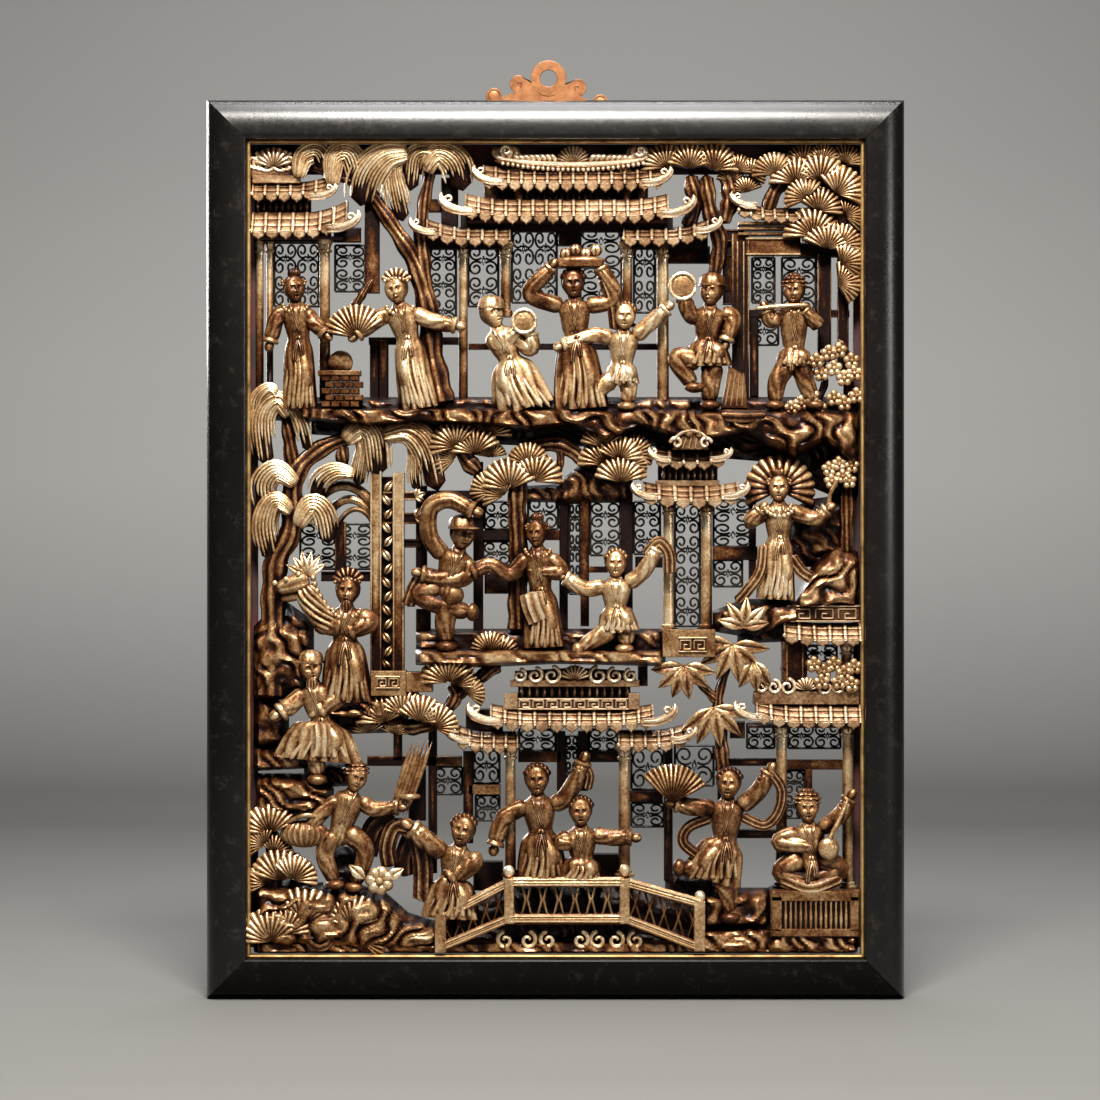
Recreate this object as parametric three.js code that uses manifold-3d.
// Openwork relief plaque: a garden scene carved in gilded wood, set in a black lacquered frame.
// Millimetres, +Z up, and the carved face looks along -Y. The origin is on the back of the hanger plate,
// in the plane of the wall. Places on the carving are [x, z] from the middle of the panel, and a depth d
// is measured forward from the back of the panel.

import * as THREE from 'three';
import { mergeVertices } from 'three/addons/utils/BufferGeometryUtils.js';
import Module from 'manifold-3d';

const wasm = await Module();
wasm.setup();

// Driving dimensions of the frame
const FRAME_WIDTH = 557;
const FRAME_HEIGHT = 717;
const RAIL_FACE = 33;
const RAIL_CREST_DEPTH = 42;
const RAIL_EDGE_DEPTH = 24;
const RAIL_SIGHT_DEPTH = 35;
const RAIL_CREST_PLACE = 0.6;
const SLIP_FACE = 2.2;
const SLIP_BACK_DEPTH = 28;
const SLIP_FRONT_DEPTH = 37;
const FIT = 0.3;

// Driving dimensions of the hanger plate
const PLATE_THICKNESS = 1.8;
const PLATE_TURN = THREE.MathUtils.degToRad(3.5);
const PLATE_ABOVE_MIDDLE = 366;
const EYE_PLACE = [-6.4, 13];
const EYE_RADIUS = 6.8;
const EYE_LOBE = 14.4;
const CURL_LOBE = 6;
const DISC_LOBE = 6.5;
const TAB_HALF_WIDTH = 34;
const TAB_DROP = 46;

// Driving dimensions of the carving
const PANEL_BACK_DEPTH = 4;
const LEDGE_DEPTH = 35;
const POST_DEPTH = [0, 8];
const COLUMN_DEPTH = 8;
const FOLIAGE_DEPTH = [16, 27];
const TUFT_DEPTH = 22;
const TRUNK_DEPTH = 17;
const TILE_PITCH = 20;
const UPTURN_REACH = 30;
const HAND_CUT = 0.3;
const BODY_DEPTH = 23;
const TERRACE_TOP = 112;
const MIDDLE_FLOOR = -80;
const BRIDGE_RAIL = -262;
const PANEL_BOTTOM = -322;
const PANEL_SIDE = 242.6;
const HELD_SIDE = FRAME_WIDTH / 2 - RAIL_FACE - FIT;
const HELD_DEPTH = SLIP_BACK_DEPTH - PANEL_BACK_DEPTH - 1;

const lacquer = new THREE.MeshStandardMaterial({ color: 0x17130f, roughness: 0.35, metalness: 0 });
const slipGilt = new THREE.MeshStandardMaterial({ color: 0xb98a4a, roughness: 0.4, metalness: 0.7 });
const carvedGilt = new THREE.MeshStandardMaterial({ color: 0x9a6a30, roughness: 0.45, metalness: 0.5 });
const copper = new THREE.MeshStandardMaterial({ color: 0xb9743a, roughness: 0.45, metalness: 0.9 });

// A closed geometry becomes a solid that can be joined and cut.
function toSolid(geometry) {
  const bare = geometry.index ? geometry.toNonIndexed() : geometry.clone();
  bare.deleteAttribute('normal');
  bare.deleteAttribute('uv');
  const merged = mergeVertices(bare, 1e-4);
  const vertProperties = new Float32Array(merged.attributes.position.array);
  const triVerts = new Uint32Array(merged.index.array);
  const mesh = new wasm.Mesh({ numProp: 3, vertProperties, triVerts });
  mesh.merge();
  return new wasm.Manifold(mesh);
}

function toGeometry(solid) {
  const { vertProperties, triVerts, numProp } = solid.getMesh();
  const geometry = new THREE.BufferGeometry();
  geometry.setAttribute('position', new THREE.BufferAttribute(vertProperties, numProp));
  geometry.setIndex(new THREE.BufferAttribute(new Uint32Array(triVerts), 1));
  return geometry;
}

// Moves every vertex of a geometry to where the function puts it.
function moveVertices(geometry, move) {
  const place = geometry.attributes.position;
  const point = new THREE.Vector3();
  for (let i = 0; i < place.count; i += 1) {
    point.fromBufferAttribute(place, i);
    const moved = move(point);
    place.setXYZ(i, moved.x, moved.y, moved.z);
  }
  return geometry;
}

// The carving is one piece of wood: every shape below is added to this list and joined at the end.
const shapes = [];

function carve(geometry) {
  shapes.push(toSolid(geometry));
}

// A block given by its left, right, bottom, top, back and front.
function block(x0, x1, z0, z1, d0, d1) {
  const geometry = new THREE.BoxGeometry(x1 - x0, d1 - d0, z1 - z0);
  carve(geometry.translate((x0 + x1) / 2, -(d0 + d1) / 2, (z0 + z1) / 2));
}

// A flat shape, with any windows through it, cut from one depth to another.
function prism(points, d0, d1, windows = []) {
  const path = (corners) => corners.map(([x, z]) => new THREE.Vector2(x, z));
  const outline = new THREE.Shape(path(points));
  outline.holes = windows.map((corners) => new THREE.Path(path([...corners].reverse())));
  const geometry = new THREE.ExtrudeGeometry(outline, { depth: d1 - d0, bevelEnabled: false });
  carve(geometry.rotateX(Math.PI / 2).translate(0, -d0, 0));
}

function ball([x, z], d, rx, rz, rd, sides = 5, rings = 3) {
  const geometry = new THREE.SphereGeometry(1, sides, rings);
  geometry.rotateX(Math.PI / 2).scale(rx, rd, rz);
  carve(geometry.translate(x, -d, z));
}

// A limb follows points [x, z, d] with a radius at each. Its section is round or flattened in depth,
// by one ratio or by a ratio at each point.
function limb(points, radii, { sides = 3, flat = 1 } = {}) {
  const path = points.map(([x, z, d]) => new THREE.Vector3(x, -d, z));
  const last = path.length - 1;
  const geometry = new THREE.CylinderGeometry(1, 1, 1, sides, last);
  const flatAt = (ring) => (Array.isArray(flat) ? flat[ring] : flat);
  carve(moveVertices(geometry, (point) => {
    const ring = Math.round((0.5 - point.y) * last);
    const before = path[Math.max(ring - 1, 0)];
    const after = path[Math.min(ring + 1, last)];
    const along = after.clone().sub(before).normalize();
    const forward = new THREE.Vector3(0, -1, 0.01).addScaledVector(along, along.y - 0.01 * along.z);
    forward.normalize();
    const across = new THREE.Vector3().crossVectors(forward, along);
    return path[ring].clone()
      .addScaledVector(across, point.x * radii[ring])
      .addScaledVector(forward, point.z * radii[ring] * flatAt(ring));
  }));
}

// A column, round enough to read as turned.
function column(x, z0, z1, radius) {
  limb([[x, z1, COLUMN_DEPTH], [x, z0, COLUMN_DEPTH]], [radius, radius], { sides: 5 });
}

// A trellis: a flat board with a window between each pair of neighbouring posts and rails. Posts are
// [left, right] and rails [bottom, top], from the lowest up, and the outer ones frame the board. Each
// window is cut by hand, a little off the line of its neighbour.
function trellis(posts, rails) {
  const left = posts[0][0];
  const right = posts[posts.length - 1][1];
  const bottom = rails[0][0];
  const top = rails[rails.length - 1][1];
  const corners = (x0, x1, z0, z1) => [[x0, z0], [x1, z0], [x1, z1], [x0, z1]];
  const windows = [];
  for (let i = 0; i + 1 < posts.length; i += 1) {
    for (let k = 0; k + 1 < rails.length; k += 1) {
      const [side, height] = [HAND_CUT * k, HAND_CUT * i];
      windows.push(corners(
        posts[i][1] + side, posts[i + 1][0] + side, rails[k][1] + height, rails[k + 1][0] + height,
      ));
    }
  }
  prism(corners(left, right, bottom, top), ...POST_DEPTH, windows);
}

// A band of roof tiles: a corrugated slab that slopes forward from its top to its eave. The ends named in
// upturn sweep out and up, as the eaves of a pavilion do.
function tiles([x0, x1], [eave, top], { depths = [20, 30], upturn = [0, 0], pitch = TILE_PITCH } = {}) {
  const wave = 2.4;
  const back = 7;
  const count = Math.max(2, Math.round((x1 - x0) / pitch));
  const outline = [new THREE.Vector2(x1, 0), new THREE.Vector2(x1, 1)];
  for (let i = 2 * count - 1; i > 0; i -= 1) {
    outline.push(new THREE.Vector2(x0 + ((x1 - x0) * i) / (2 * count), i % 2 ? 1 + wave : 1));
  }
  outline.push(new THREE.Vector2(x0, 1), new THREE.Vector2(x0, 0));
  const reach = Math.min(UPTURN_REACH, (x1 - x0) / 2);
  const lift = (x) => {
    const left = Math.max(0, 1 - (x - x0) / reach);
    const right = Math.max(0, 1 - (x1 - x) / reach);
    return upturn[0] * left ** 2 + upturn[1] * right ** 2;
  };
  const geometry = new THREE.ExtrudeGeometry(new THREE.Shape(outline), { depth: 1, bevelEnabled: false });
  carve(moveVertices(geometry, ({ x, y, z }) => {
    const slope = depths[0] + (depths[1] - depths[0]) * z - 1;
    const d = y === 0 ? back : slope + y;
    return new THREE.Vector3(x, -d, top + (eave - top) * z + lift(x));
  }));
}

// A fan with a scalloped rim: a folding fan, a parasol or a plant's spray of leaves. Turn 0 opens upward
// and positive turns lean right.
function fan([x, z], radius, turn, { spread, lobes, depth }) {
  const at = (degrees, reach) => {
    const angle = THREE.MathUtils.degToRad(90 - turn - degrees);
    return [x + reach * Math.cos(angle), z + reach * Math.sin(angle)];
  };
  const points = [at(180, radius * 0.35)];
  for (let i = 0; i <= 2 * lobes; i += 1) {
    points.push(at(spread / 2 - (spread * i) / (2 * lobes), radius * (i % 2 ? 1 : 0.82)));
  }
  prism(points, ...depth);
}

// A bough of pine: fans of needles side by side along a branch from one end to the other, on its left.
function bough([x0, z0], [x1, z1], reach, lobes, depth = FOLIAGE_DEPTH) {
  const length = Math.hypot(x1 - x0, z1 - z0);
  const along = [(x1 - x0) / length, (z1 - z0) / length];
  const at = (run, side) => [
    x0 + (x1 - x0) * run - along[1] * side,
    z0 + (z1 - z0) * run + along[0] * side,
  ];
  const points = [at(0, -4), at(1, -4)];
  for (let i = 2 * lobes; i >= 0; i -= 1) {
    const run = i / (2 * lobes);
    const swell = 0.6 + 0.4 * Math.sin(Math.PI * run);
    points.push(at(run, reach * swell * (i % 2 ? 1 : 0.7)));
  }
  prism(points, ...depth);
}

// A tuft of willow: a flat bundle of strands that falls along its points.
function tuft(points, width) {
  const path = points.map(([x, z]) => [x, z, TUFT_DEPTH]);
  const last = path.length - 1;
  const swell = (i) => 0.45 + 0.55 * Math.sin((Math.PI * (i + 0.35)) / (last + 0.6));
  const radii = path.map((_, i) => (width / 2) * swell(i));
  limb(path, radii, { flat: 0.7 });
}

function trunk(points, radii, d = TRUNK_DEPTH) {
  limb(points.map(([x, z]) => [x, z, d]), radii);
}

// Hats and hair: how far each reaches above the middle of the head, and its width at the top and the brow.
const headdress = {
  bun: { reach: 1.7, top: 0.4, brow: 0.95 },
  curls: { reach: 1.3, top: 0.75, brow: 1.15 },
  cap: { reach: 1.45, top: 0.55, brow: 1.1 },
  visor: { reach: 1.4, top: 0.5, brow: 1.35 },
  turban: { reach: 1.5, top: 0.8, brow: 1.25 },
  crown: { reach: 1.6, top: 1.3, brow: 0.95 },
  hat: { reach: 2.2, top: 0.7, brow: 1.5 },
};

// A figure from its head, waist and, for a robe, its hem, with the points its arms and legs pass through.
// Head, body and robe are one limb along the spine. The first arm and leg start at the left as seen from
// the front, the second at the right.
function figure({ head, size, waist, hem = null, arms = [], legs = [], hair = 'bun', d = BODY_DEPTH }) {
  const down = new THREE.Vector2(waist[0] - head[0], waist[1] - head[1]).normalize();
  const onSpine = (run, depth) => [head[0] + down.x * run * size, head[1] + down.y * run * size, depth];
  const { reach, top, brow } = headdress[hair];
  const path = [
    onSpine(-reach, d + 1), onSpine(-0.3, d + 2), onSpine(1.1, d + 1), onSpine(2, d), [...waist, d],
  ];
  const radii = [top, brow, 0.5, 1.45, 1.1].map((ratio) => ratio * size);
  const flat = [1, 1, 1, 0.72, 0.8];
  let hip = waist;
  if (hem) {
    const [left, right, bottom] = hem;
    const half = (right - left) / 2;
    path.push([(left + right) / 2, bottom, d]);
    radii.push(half);
    flat.push(Math.min(0.85, 11.5 / half));
    hip = [(left + right) / 2, bottom + size * 0.4];
  }
  limb(path, radii, { sides: 4, flat });
  arms.forEach((points, side) => {
    const outward = side === 0 ? -1 : 1;
    const start = onSpine(2, d + 1);
    start[0] += outward * size;
    const reached = [start, ...points.map(([x, z], i) => [x, z, d + 3 + i])];
    limb(reached, reached.map((_, i) => size * (i === reached.length - 1 ? 0.55 : 0.8)));
  });
  legs.forEach((points, side) => {
    const outward = side === 0 ? -1 : 1;
    const start = [hip[0] + outward * size * 0.5, hip[1], d];
    const reached = [start, ...points.map(([x, z]) => [x, z, d + 1])];
    limb(reached, reached.map((_, i) => size * (1 - (0.4 * i) / (reached.length - 1))));
  });
}

// The terrace that carries the top scene, with the rock under it.
function terrace() {
  const lip = 6;
  const sag = 14;
  const count = 10;
  block(-HELD_SIDE, HELD_SIDE, TERRACE_TOP - 12, TERRACE_TOP, 0, HELD_DEPTH);
  const rock = [[-PANEL_SIDE, TERRACE_TOP], [PANEL_SIDE, TERRACE_TOP]];
  for (let i = 0; i <= count; i += 1) {
    const x = PANEL_SIDE - (i * (2 * PANEL_SIDE - 40)) / count;
    const deep = x > 60 ? 1.9 : 1;
    rock.push([x, TERRACE_TOP - lip - sag * deep * (i % 2 ? 0.6 : 1)]);
  }
  rock.push([-PANEL_SIDE, TERRACE_TOP - lip]);
  prism(rock.reverse(), 4, LEDGE_DEPTH);
}

// The pavilion at the top left, two tiers of tiles on columns.
function leftPavilion() {
  prism([[-PANEL_SIDE, 290], [-205, 292], [-208, 299], [-225, 321], [-PANEL_SIDE, 321]], 8, 22);
  tiles([-PANEL_SIDE, -176], [281, 293], { depths: [18, 26], upturn: [0, 8] });
  block(-PANEL_SIDE, -196, 264, 284, 4, 16);
  tiles([-PANEL_SIDE, -153], [247, 268], { depths: [20, 31], upturn: [0, 14] });
  column(-237, TERRACE_TOP - 2, 252, 4);
  column(-228, TERRACE_TOP - 2, 252, 3.6);
  column(-185, TERRACE_TOP - 2, 252, 5);
}

// Willows between the two upper pavilions, with their trunks.
function topWillows() {
  trunk([[-98, 108], [-102, 190], [-112, 228], [-150, 288], [-190, 302]], [11, 8, 7, 6, 4]);
  trunk([[-102, 190], [-106, 250], [-98, 312]], [6, 6, 4]);
  tuft([[-180, 296], [-174, 312], [-160, 304], [-157, 282]], 20);
  tuft([[-122, 312], [-138, 307], [-151, 292], [-155, 274]], 22);
  tuft([[-78, 300], [-96, 311], [-110, 302], [-113, 284]], 22);
}

// The great roof in the middle of the top: three tiers, finials and wing roofs.
function centralRoof() {
  prism([[-46, 303], [74, 303], [70, 322], [54, 322], [46, 312], [26, 322], [2, 322], [-18, 312], [-30, 322],
    [-46, 322]], 8, 24);
  tiles([-66, 90], [286, 305], { depths: [19, 29], upturn: [8, 8] });
  block(-58, 72, 274, 290, 5, 17);
  tiles([-94, 110], [258, 278], { depths: [20, 31], upturn: [10, 10] });
  tiles([-117, -36], [242, 257], { depths: [19, 29], upturn: [14, 0] });
  tiles([53, 132], [242, 257], { depths: [19, 29], upturn: [0, 14] });
  column(-74, TERRACE_TOP - 2, 248, 4.2);
  column(86, TERRACE_TOP - 2, 248, 5.2);
  trellis([[-149, -142], [-78, -70], [-45, -36], [53, 62], [80, 92]], [[164, 170], [244, 268]]);
  block(-149, -142, TERRACE_TOP - 4, 168, ...POST_DEPTH);
}

// The gate at the top right with its own small roof, posts and rails.
function topGate() {
  trellis([[141, 155], [210, 220], [228, 236]], [[TERRACE_TOP - 4, TERRACE_TOP], [186, 192], [234, 252]]);
  tiles([142, 208], [250, 272], { depths: [18, 28], upturn: [16, 0] });
}

// Pines that close the top right corner.
function topPines() {
  trunk([[124, 252], [120, 300], [112, 310]], [6, 6, 5]);
  trunk([[170, 266], [190, 296], [216, 296], [232, 240], [232, 180]], [6, 6, 7, 7, 5]);
  bough([76, 304], [140, 304], 17, 3);
  bough([160, 292], [240, 298], 20, 4);
  bough([214, 290], [236, 272], 16, 2);
  bough([194, 248], [240, 240], 18, 3);
  bough([218, 210], [240, 206], 15, 2);
}

function topFigures() {
  figure({
    head: [-208, 206], size: 8.5, waist: [-205, 168], hem: [-217, -187, TERRACE_TOP - 1],
    arms: [[[-223, 184], [-231, 165]], [[-194, 182], [-187, 172]]],
  });
  figure({
    head: [-127, 205], size: 9, waist: [-116, 168], hem: [-127, -92, TERRACE_TOP - 1], hair: 'crown',
    arms: [[[-146, 180], [-159, 170]], [[-101, 178], [-78, 178]]],
  });
  fan([-159, 168], 27, -8, { spread: 150, lobes: 4, depth: [24, 31] });
  figure({
    head: [-50, 186], size: 9, waist: [-34, 152], hem: [-47, -1, TERRACE_TOP - 1], hair: 'cap',
    arms: [[[-46, 164], [-29, 178]], [[-18, 160], [-21, 178]]],
  });
  figure({
    head: [14, 210], size: 9, waist: [16, 168], hem: [-1, 45, TERRACE_TOP - 1],
    arms: [[[-19, 203], [-1, 228]], [[46, 198], [38, 228]]],
  });
  prism([[0, 224], [40, 224], [36, 232], [30, 243], [20, 246], [8, 242], [4, 232]], 18, 34);
  figure({
    head: [55, 182], size: 8.5, waist: [53, 146], hem: [42, 66, 132], hair: 'curls',
    arms: [[[30, 168], [5, 162]], [[78, 180], [89, 191]]],
    legs: [[[40, 130], [24, TERRACE_TOP - 1]], [[57, 130], [57, TERRACE_TOP - 1]]],
  });
  figure({
    head: [124, 202], size: 9, waist: [121, 167], hem: [103, 140, 146], hair: 'turban',
    arms: [[[107, 186], [101, 208]], [[140, 182], [136, 164]]],
    legs: [[[98, 152], [110, 128]], [[123, 130], [123, TERRACE_TOP - 1]]],
  });
  ball([101, 208], 28, 11, 11, 6);
  figure({
    head: [190, 202], size: 8.5, waist: [190, 160], hem: [176, 205, 146], hair: 'turban',
    arms: [[[173, 180], [168, 191]], [[208, 177], [197, 191]]],
    legs: [[[177, 132], [175, TERRACE_TOP - 1]], [[199, 132], [205, TERRACE_TOP - 1]]],
  });
  block(158, 202, 190, 194, 26, 31);
  const foot = TERRACE_TOP - 1;
  prism([[-188, foot], [-157, foot], [-158, 138], [-164, 158], [-180, 158], [-187, 138]], 12, 32);
  prism([[132, foot], [152, foot], [150, 140], [138, 145]], 16, 30);
  prism([[188, foot], [232, foot], [236, 148], [216, 156], [208, 130], [190, 124]], 12, 29);
}

// The willow at the left edge, with its rock.
function leftWillow() {
  trunk([[-228, -120], [-224, -12], [-209, 20], [-204, 66], [-166, 90], [-112, 90]], [12, 10, 9, 8, 7, 5]);
  trunk([[-208, 55], [-212, 90], [-218, 112]], [7, 6, 5]);
  tuft([[-214, 112], [-228, 112], [-232, 88], [-228, 58]], 17);
  tuft([[-216, 112], [-203, 98], [-198, 80]], 12);
  tuft([[-166, 88], [-150, 94], [-143, 80], [-140, 56]], 25);
  tuft([[-134, 91], [-114, 90], [-102, 70], [-96, 46]], 22);
  tuft([[-206, 48], [-224, 52], [-232, 30], [-230, -8]], 24);
  tuft([[-206, 14], [-194, 30], [-184, 22], [-182, 4]], 20);
  prism([[-PANEL_SIDE, -122], [-201, -122], [-199, -80], [-206, -58], [-228, -48], [-237, -60]], 6, 30);
  block(-HELD_SIDE, -210, -118, -84, 0, HELD_DEPTH);
}

// The round gate and the tall gate beside the willow.
function gates() {
  const middle = [-172, 4];
  const arch = [];
  for (const [radius, sign] of [[54, 1], [44, -1]]) {
    for (let i = 0; i <= 5; i += 1) {
      const angle = THREE.MathUtils.degToRad(90 - sign * (45 - i * 18));
      arch.push([middle[0] + radius * Math.cos(angle), middle[1] + radius * Math.sin(angle)]);
    }
  }
  prism(arch, 2, 14);
  trellis([[-214, -208], [-177, -168], [-111, -103]], [[-26, -18], [39, 46]]);
  block(-147, -139, -118, 62, 2, 12);
  block(-130, -122, -118, 62, 2, 14);
  block(-111, -103, -90, -18, ...POST_DEPTH);
  block(-147, -98, -115, -97, 4, 31);
  block(-184, -119, -137, -114, 4, 31);
}

// The middle floor with its posts, rails and the bark roof over them.
function middleFloor() {
  prism([[-112, -92], [88, -92], [88, -66], [-112, -66]], 2, 20);
  block(-112, 88, -92, MIDDLE_FLOOR + 1, 4, LEDGE_DEPTH);
  trellis([[-111, -103], [-65, -58], [3, 10], [20, 27], [52, 62]], [[-70, -66], [40, 48]]);
  trunk([[-29, -68], [-30, 46], [-20, 66], [14, 78], [40, 66]], [9, 8, 6, 6, 6], 15);
  prism([[-38, 38], [64, 38], [74, 58], [40, 68], [12, 70], [4, 52], [-38, 50]], 2, 22);
  trunk([[-61, 62], [-74, 76], [-58, 106]], [6, 8, 6]);
  trunk([[44, 60], [56, 104]], [7, 7]);
}

function middlePines() {
  bough([-94, 76], [-42, 88], 19, 4);
  bough([-62, 40], [-4, 62], 19, 4);
  bough([26, 66], [66, 74], 20, 3);
  bough([38, 48], [66, 54], 16, 2);
  bough([-66, -84], [-36, -92], 20, 3, [16, 37]);
}

function middleFigures() {
  figure({
    head: [-74, 10], size: 9.5, waist: [-84, -28], hair: 'visor',
    arms: [[[-101, 14], [-97, 37], [-70, 33]], [[-74, -24], [-92, -24], [-108, -20]]],
    legs: [[[-108, -37], [-82, -46], [-64, -50]], [[-87, -56], [-87, MIDDLE_FLOOR]]],
  });
  figure({
    head: [-15, 10], size: 8.5, waist: [-12, -32], hem: [-27, 9, MIDDLE_FLOOR],
    arms: [[[-37, -20], [-50, -14], [-65, -20]], [[3, -16], [-14, -18]]],
  });
  figure({
    head: [48, -13], size: 8.5, waist: [48, -46], hem: [36, 66, -66], hair: 'curls',
    arms: [[[24, -33], [7, -23]], [[70, -16], [80, 3], [90, -14]]],
    legs: [[[34, -68], [18, -82]], [[56, -66], [55, -82]]],
  });
  figure({
    head: [178, 48], size: 8.5, waist: [178, 9], hem: [158, 193, -41],
    arms: [[[155, 22], [163, 31]], [[207, 22], [217, 31]]],
  });
  fan([179, 55], 27, 0, { spread: 250, lobes: 5, depth: [12, 20] });
  limb([[186, -6, 25], [196, -20, 25], [206, -24, 24]], [5, 5, 5], { flat: 0.6 });
  limb([[217, 26, 27], [222, 54, 24], [234, 66, 22]], [2.5, 7, 7]);
}

// The two-tier pavilion right of the middle, on its panelled base.
function smallPavilion() {
  prism([[90, 78], [124, 78], [118, 88], [108, 94], [100, 92]], 8, 20);
  tiles([75, 141], [64, 81], { depths: [18, 28], upturn: [9, 9] });
  block(82, 130, 50, 68, 5, 17);
  tiles([62, 153], [35, 54], { depths: [20, 31], upturn: [10, 10] });
  column(90.5, -66, 40, 4.8);
  column(121, -66, 40, 5);
  block(84, 127, -92, -63, 5, 34);
  trellis([[60, 66], [118, 126], [160, 166]], [[-22, -16], [-4, 2]]);
  trunk([[108, 88], [110, 104]], [9, 10]);
}

// Rocks and a planted ledge at the right edge.
function rightRocks() {
  block(190, HELD_SIDE, -58, -40, 0, HELD_DEPTH);
  prism([
    [126, -72], [174, -72], [196, -58], [PANEL_SIDE, -50], [PANEL_SIDE, -4], [228, 2], [214, -4],
    [198, -38], [152, -38], [128, -54],
  ], 6, 32);
  prism([[188, 30], [206, 4], [226, -10], [230, 40], [214, 52], [205, 40]], 2, 14);
  trunk([[231, -8], [233, 110]], [6, 6], 18);
  prism([[200, 92], [PANEL_SIDE, 92], [PANEL_SIDE, 40], [222, 46], [206, 66]], 3, 15);
  fan([150, -60], 23, 0, { spread: 170, lobes: 3, depth: [26, 35] });
}

// The pavilion at the right edge: two ridges and two roofs on columns, down to the pedestal.
function rightPavilion() {
  prism([[186, -58], [PANEL_SIDE, -58], [PANEL_SIDE, -44], [196, -46], [190, -43], [184, -50]], 10, 28);
  tiles([178, PANEL_SIDE], [-77, -57], { depths: [22, 31], upturn: [6, 0] });
  block(182, 200, -108, -72, 6, 24);
  column(233, -108, -72, 5.4);
  prism([[156, -118], [PANEL_SIDE, -118], [PANEL_SIDE, -92], [218, -90], [202, -104], [170, -106], [162, -98],
    [155, -106]], 8, 28);
  tiles([136, PANEL_SIDE], [-141, -117], { depths: [22, 32], upturn: [14, 0] });
  column(181, -274, -136, 5);
  column(234, -274, -136, 5);
  trellis([[130, 137], [176, 186], [230, 238]], [[-232, -225], [-176, -168], [-140, -132]]);
  block(HELD_SIDE - 8, HELD_SIDE, -134, -110, 0, HELD_DEPTH);
}

// Broad-leaved plants between the small pavilion and the right one.
function leafPlants() {
  trunk([[133, -180], [130, -121], [142, -78]], [7, 6, 5], 20);
  trunk([[130, -122], [102, -92]], [5, 5], 20);
  for (const [place, reach, turn] of [[[141, -77], 25, 180], [[102, -93], 20, 190], [[127, -128], 26, 175]]) {
    fan(place, reach, turn, { spread: 250, lobes: 4, depth: [20, 30] });
  }
}

function leftFigures() {
  figure({
    head: [-166, -34], size: 9.5, waist: [-168, -72], hem: [-185, -147, -122], hair: 'crown',
    arms: [[[-187, -60], [-170, -63]], [[-149, -56], [-162, -65]]],
  });
  limb([[-178, -60, 28], [-192, -46, 28], [-201, -30, 28], [-223, -30, 28]], [9, 9, 9, 4], { sides: 5 });
  limb([[-200, -32, 25], [-203, -14, 24], [-198, -2, 22]], [9, 10, 4], { flat: 0.6 });
  figure({
    head: [-194, -96], size: 9, waist: [-186, -136], hem: [-224, -156, -170], hair: 'cap',
    arms: [[[-206, -124], [-220, -131]], [[-170, -116], [-188, -129]]],
    legs: [[[-190, -160], [-190, -186]]],
  });
  block(-HELD_SIDE, -220, -182, -156, 0, HELD_DEPTH);
  prism([
    [-PANEL_SIDE, -216], [-196, -214], [-176, -200], [-178, -188], [-200, -166], [-PANEL_SIDE, -160],
  ], 4, 28);
  block(-240, -220, -270, -118, 2, 12);
}

// Pines and rails left of the lower pavilion.
function lowerPines() {
  block(-184, -66, -174, -166, ...POST_DEPTH);
  block(-130, -123, -170, -134, ...POST_DEPTH);
  block(-102, -95, -300, -134, 2, 12);
  trunk([[-132, -138], [-94, -140], [-74, -112], [-44, -88]], [6, 7, 7, 6]);
  trunk([[-228, -316], [-226, -220]], [8, 6]);
  bough([-148, -140], [-84, -146], 20, 4);
  bough([-100, -106], [-60, -118], 20, 3);
  bough([-238, -226], [-216, -228], 18, 2);
  bough([-238, -268], [-202, -268], 22, 3);
  bough([-214, -302], [-184, -298], 20, 2);
  bough([-240, -318], [-206, -312], 24, 3);
  bough([-172, -304], [-142, -312], 20, 2, [16, 35]);
}

function lowerFigures() {
  figure({
    head: [-159, -184], size: 8.5, waist: [-172, -224], hair: 'hat',
    arms: [[[-188, -212], [-198, -224]], [[-146, -207], [-124, -206]]],
    legs: [[[-182, -246], [-176, -268]], [[-152, -240], [-160, -270]]],
  });
  limb([[-128, -214, 30], [-106, -154, 22]], [9, 7.5], { sides: 5 });
  ball([-200, -227], 26, 18, 11, 8);
  figure({
    head: [-74, -226], size: 9.5, waist: [-82, -262], hem: [-106, -60, -296], hair: 'curls',
    arms: [[[-98, -236], [-116, -222], [-132, -232]], [[-94, -252], [-76, -260]]],
  });
  limb([[-114, -220, 22], [-106, -288, 19]], [7, 8], { flat: 0.6 });
  figure({
    head: [-15, -186], size: 9.5, waist: [-12, -224], hem: [-30, 9, -268], hair: 'curls', d: 19,
    arms: [[[-42, -217], [-48, -238]], [[5, -199], [18, -178], [26, -186]]],
  });
  figure({
    head: [20, -211], size: 9, waist: [22, -246], hem: [2, 37, -268], d: 21,
    arms: [[[4, -235], [16, -233]], [[44, -231], [62, -230]]],
  });
  figure({
    head: [138, -189], size: 9.5, waist: [134, -231], hem: [102, 147, -264], hair: 'curls',
    arms: [[[112, -206], [92, -203]], [[161, -193], [172, -174]]],
    legs: [[[118, -260], [96, -256]], [[138, -270], [139, -296]]],
  });
  fan([91, -202], 31, 8, { spread: 112, lobes: 4, depth: [26, 32] });
  limb([[172, -174, 28], [179, -200, 26], [168, -219, 24], [146, -213, 24]], [5, 5, 5, 4]);
  limb([[126, -213, 22], [105, -224, 20], [105, -240, 20], [120, -250, 22]], [5, 5, 5, 5]);
  figure({
    head: [201, -208], size: 9, waist: [203, -248], hair: 'turban',
    arms: [[[177, -234], [214, -238]], [[226, -211], [235, -197]]],
    legs: [[[178, -259], [208, -270]], [[227, -257], [196, -270]]],
  });
}

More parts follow.
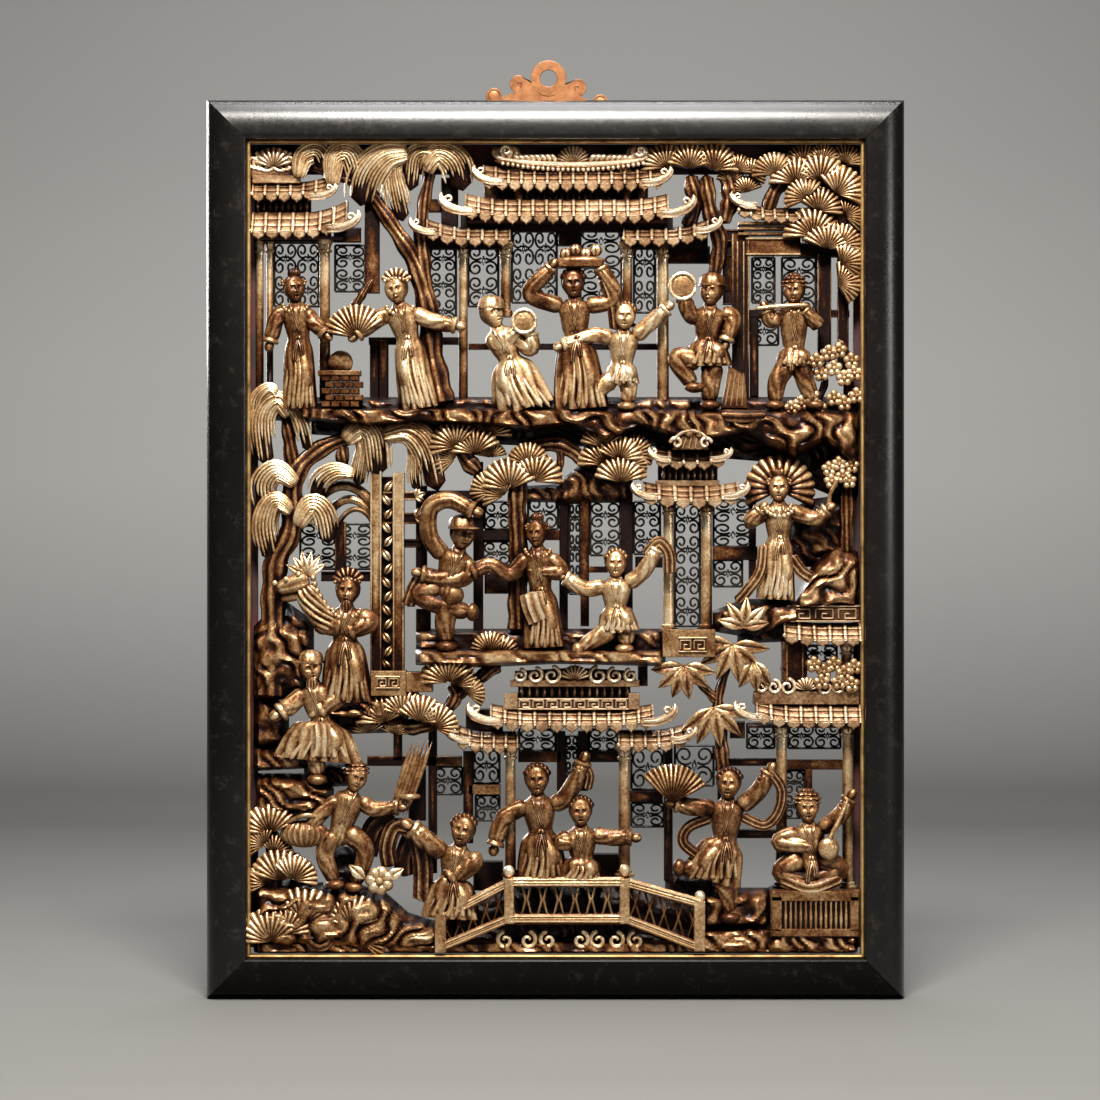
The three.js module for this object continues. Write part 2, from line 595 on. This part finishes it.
// The lower pavilion over the bridge: scrolled ridge, balusters, tiles, wings and columns.
function lowerPavilion() {
  prism([
    [-41, -129], [67, -129], [67, -119], [58, -119], [68, -100], [58, -92], [46, -100], [15, -91],
    [-18, -100], [-28, -92], [-37, -100], [-31, -119], [-41, -119],
  ], 10, 27);
  tiles([-71, 97], [-147, -128], { depths: [23, 32], upturn: [13, 13] });
  tiles([-88, -30], [-163, -146], { depths: [21, 31], upturn: [12, 0] });
  tiles([50, 114], [-162, -145], { depths: [21, 31], upturn: [0, 12] });
  column(-36, -266, -156, 4.6);
  column(54.5, -266, -156, 5);
  trellis([[-74, -66], [18, 26], [87, 94]], [[-300, -290], [-198, -190], [-152, -143]]);
}

// The humpback bridge: sloping rails between posts, over the scrolls of the water.
function bridge() {
  const rail = BRIDGE_RAIL;
  const outer = [
    [-95, PANEL_BOTTOM], [-86, PANEL_BOTTOM + 4], [-38, -298], [56, -298], [110, PANEL_BOTTOM + 4],
    [119, PANEL_BOTTOM], [119, rail - 18], [58, rail], [-40, rail], [-95, rail - 29],
  ];
  const windows = [
    [[-86, rail - 44], [-40, rail - 23], [-40, rail - 9], [-86, rail - 33]],
    [[-33, rail - 28], [50, rail - 28], [50, rail - 7], [-33, rail - 7]],
    [[58, rail - 28], [110, rail - 45], [110, rail - 24], [58, rail - 8]],
  ];
  prism(outer, 20, 34, windows);
  for (const [x, z] of [[-36, rail + 3], [54.5, rail + 4], [115, rail - 15]]) {
    ball([x, z], 27, 5.5, 5.5, 5.5);
  }
  prism([[-95, -319], [119, -319], [56, -294], [-36, -294]], 4, 22);
}

// The ground along the bottom: rocks at the left, the base strip, and the panelled pedestal at the right.
function ground() {
  const half = FRAME_HEIGHT / 2 - RAIL_FACE - FIT;
  block(-HELD_SIDE, HELD_SIDE, -half, PANEL_BOTTOM + 8, 0, HELD_DEPTH);
  prism([
    [-204, -321], [-92, -321], [-92, -296], [-120, -292], [-136, -276], [-168, -268], [-200, -264],
  ], 4, 32);
  block(171, PANEL_SIDE, -309, -270, 4, 33);
  prism([[112, -321], [PANEL_SIDE, -321], [PANEL_SIDE, -307], [172, -307], [172, -273], [116, -273]], 5, 28);
}

terrace();
leftPavilion();
topWillows();
centralRoof();
topGate();
topPines();
topFigures();
leftWillow();
gates();
middleFloor();
middlePines();
middleFigures();
smallPavilion();
rightRocks();
rightPavilion();
leafPlants();
leftFigures();
lowerPines();
lowerFigures();
lowerPavilion();
bridge();
ground();

const plaque = new THREE.Group();
const plateBackToFrame = PLATE_THICKNESS + FIT;

function addMesh(name, geometry, material, parent = plaque) {
  const mesh = new THREE.Mesh(geometry, material);
  mesh.name = name;
  parent.add(mesh);
  return mesh;
}

// Section of the lacquered moulding: u runs from the outer edge to the slip, v from the back to the crest.
function railSection() {
  const crest = RAIL_FACE * RAIL_CREST_PLACE;
  const section = new THREE.Shape();
  section.moveTo(0, 0);
  section.lineTo(RAIL_FACE, 0);
  section.lineTo(RAIL_FACE, RAIL_SIGHT_DEPTH);
  section.quadraticCurveTo(RAIL_FACE * 0.85, RAIL_CREST_DEPTH, crest, RAIL_CREST_DEPTH);
  section.quadraticCurveTo(RAIL_FACE * 0.1, RAIL_CREST_DEPTH, 0, RAIL_EDGE_DEPTH);
  return section;
}

function slipSection() {
  const section = new THREE.Shape();
  const start = RAIL_FACE + FIT;
  section.moveTo(start, SLIP_BACK_DEPTH);
  section.lineTo(start + SLIP_FACE, SLIP_BACK_DEPTH);
  section.lineTo(start + SLIP_FACE, SLIP_FRONT_DEPTH - 1);
  section.lineTo(start + SLIP_FACE / 2, SLIP_FRONT_DEPTH);
  section.lineTo(start, SLIP_FRONT_DEPTH - 1);
  return section;
}

// A side of the frame: the section runs along the side, and both ends are cut to the mitre.
function mitredSide(section, length) {
  const geometry = new THREE.ExtrudeGeometry(section, { depth: 1, bevelEnabled: false, curveSegments: 5 });
  return moveVertices(geometry, ({ x, y, z }) => {
    const along = (0.5 - z) * (length - 2 * x - FIT);
    return new THREE.Vector3(along, -y, -x);
  });
}

const sides = [
  ['rail_top', 'slip_top', FRAME_WIDTH, FRAME_HEIGHT, 0],
  ['rail_bottom', 'slip_bottom', FRAME_WIDTH, FRAME_HEIGHT, Math.PI],
  ['stile_right', 'slip_right', FRAME_HEIGHT, FRAME_WIDTH, Math.PI / 2],
  ['stile_left', 'slip_left', FRAME_HEIGHT, FRAME_WIDTH, -Math.PI / 2],
];
const frame = new THREE.Group();
frame.position.set(0, -plateBackToFrame, -PLATE_ABOVE_MIDDLE);
plaque.add(frame);
for (const [railName, slipName, length, acrossFrame, turn] of sides) {
  const side = new THREE.Group();
  side.rotation.y = turn;
  frame.add(side);
  for (const [name, section, material] of [
    [`frame_${railName}`, railSection(), lacquer],
    [slipName, slipSection(), slipGilt],
  ]) {
    addMesh(name, mitredSide(section, length), material, side).position.z = acrossFrame / 2;
  }
}

// The carved panel, held at its long ledges in the frame.
const carving = wasm.Manifold.union(shapes);
const panel = addMesh('carved_panel', toGeometry(carving), carvedGilt, frame);
panel.position.y = -PANEL_BACK_DEPTH;

// The hanger plate: an eye, two curls, two coin-shaped ends and a plain tab behind the top rail.
function hangerPlate() {
  const lobe = (x, z, radius, count) => {
    const geometry = new THREE.CylinderGeometry(radius, radius, PLATE_THICKNESS, count);
    return toSolid(geometry.translate(x, -PLATE_THICKNESS / 2, z));
  };
  const sheet = (x0, x1, z0, z1) => {
    const geometry = new THREE.BoxGeometry(x1 - x0, PLATE_THICKNESS, z1 - z0);
    return toSolid(geometry.translate((x0 + x1) / 2, -PLATE_THICKNESS / 2, (z0 + z1) / 2));
  };
  const [eyeX, eyeZ] = EYE_PLACE;
  const pieces = [
    lobe(eyeX, eyeZ, EYE_LOBE, 16),
    sheet(eyeX - TAB_HALF_WIDTH, eyeX + TAB_HALF_WIDTH, eyeZ - TAB_DROP, eyeZ - 16),
    sheet(eyeX - EYE_LOBE, eyeX + EYE_LOBE, eyeZ - 17, eyeZ - 5),
  ];
  for (const side of [-1, 1]) {
    pieces.push(lobe(eyeX + side * 25, eyeZ - 6, CURL_LOBE, 8));
    pieces.push(sheet(eyeX + side * 18 - 6, eyeX + side * 18 + 6, eyeZ - 11, eyeZ - 5));
    pieces.push(lobe(eyeX + side * 43, eyeZ - 17, DISC_LOBE, 10));
    pieces.push(sheet(eyeX + side * 36 - 8, eyeX + side * 36 + 8, eyeZ - 26, eyeZ - 16.5));
  }
  const bore = new THREE.CylinderGeometry(EYE_RADIUS, EYE_RADIUS, 3 * PLATE_THICKNESS, 12);
  return wasm.Manifold.union(pieces).subtract(toSolid(bore.translate(eyeX, 0, eyeZ)));
}

addMesh('hanger_plate', toGeometry(hangerPlate()), copper).rotation.y = PLATE_TURN;

export default plaque;
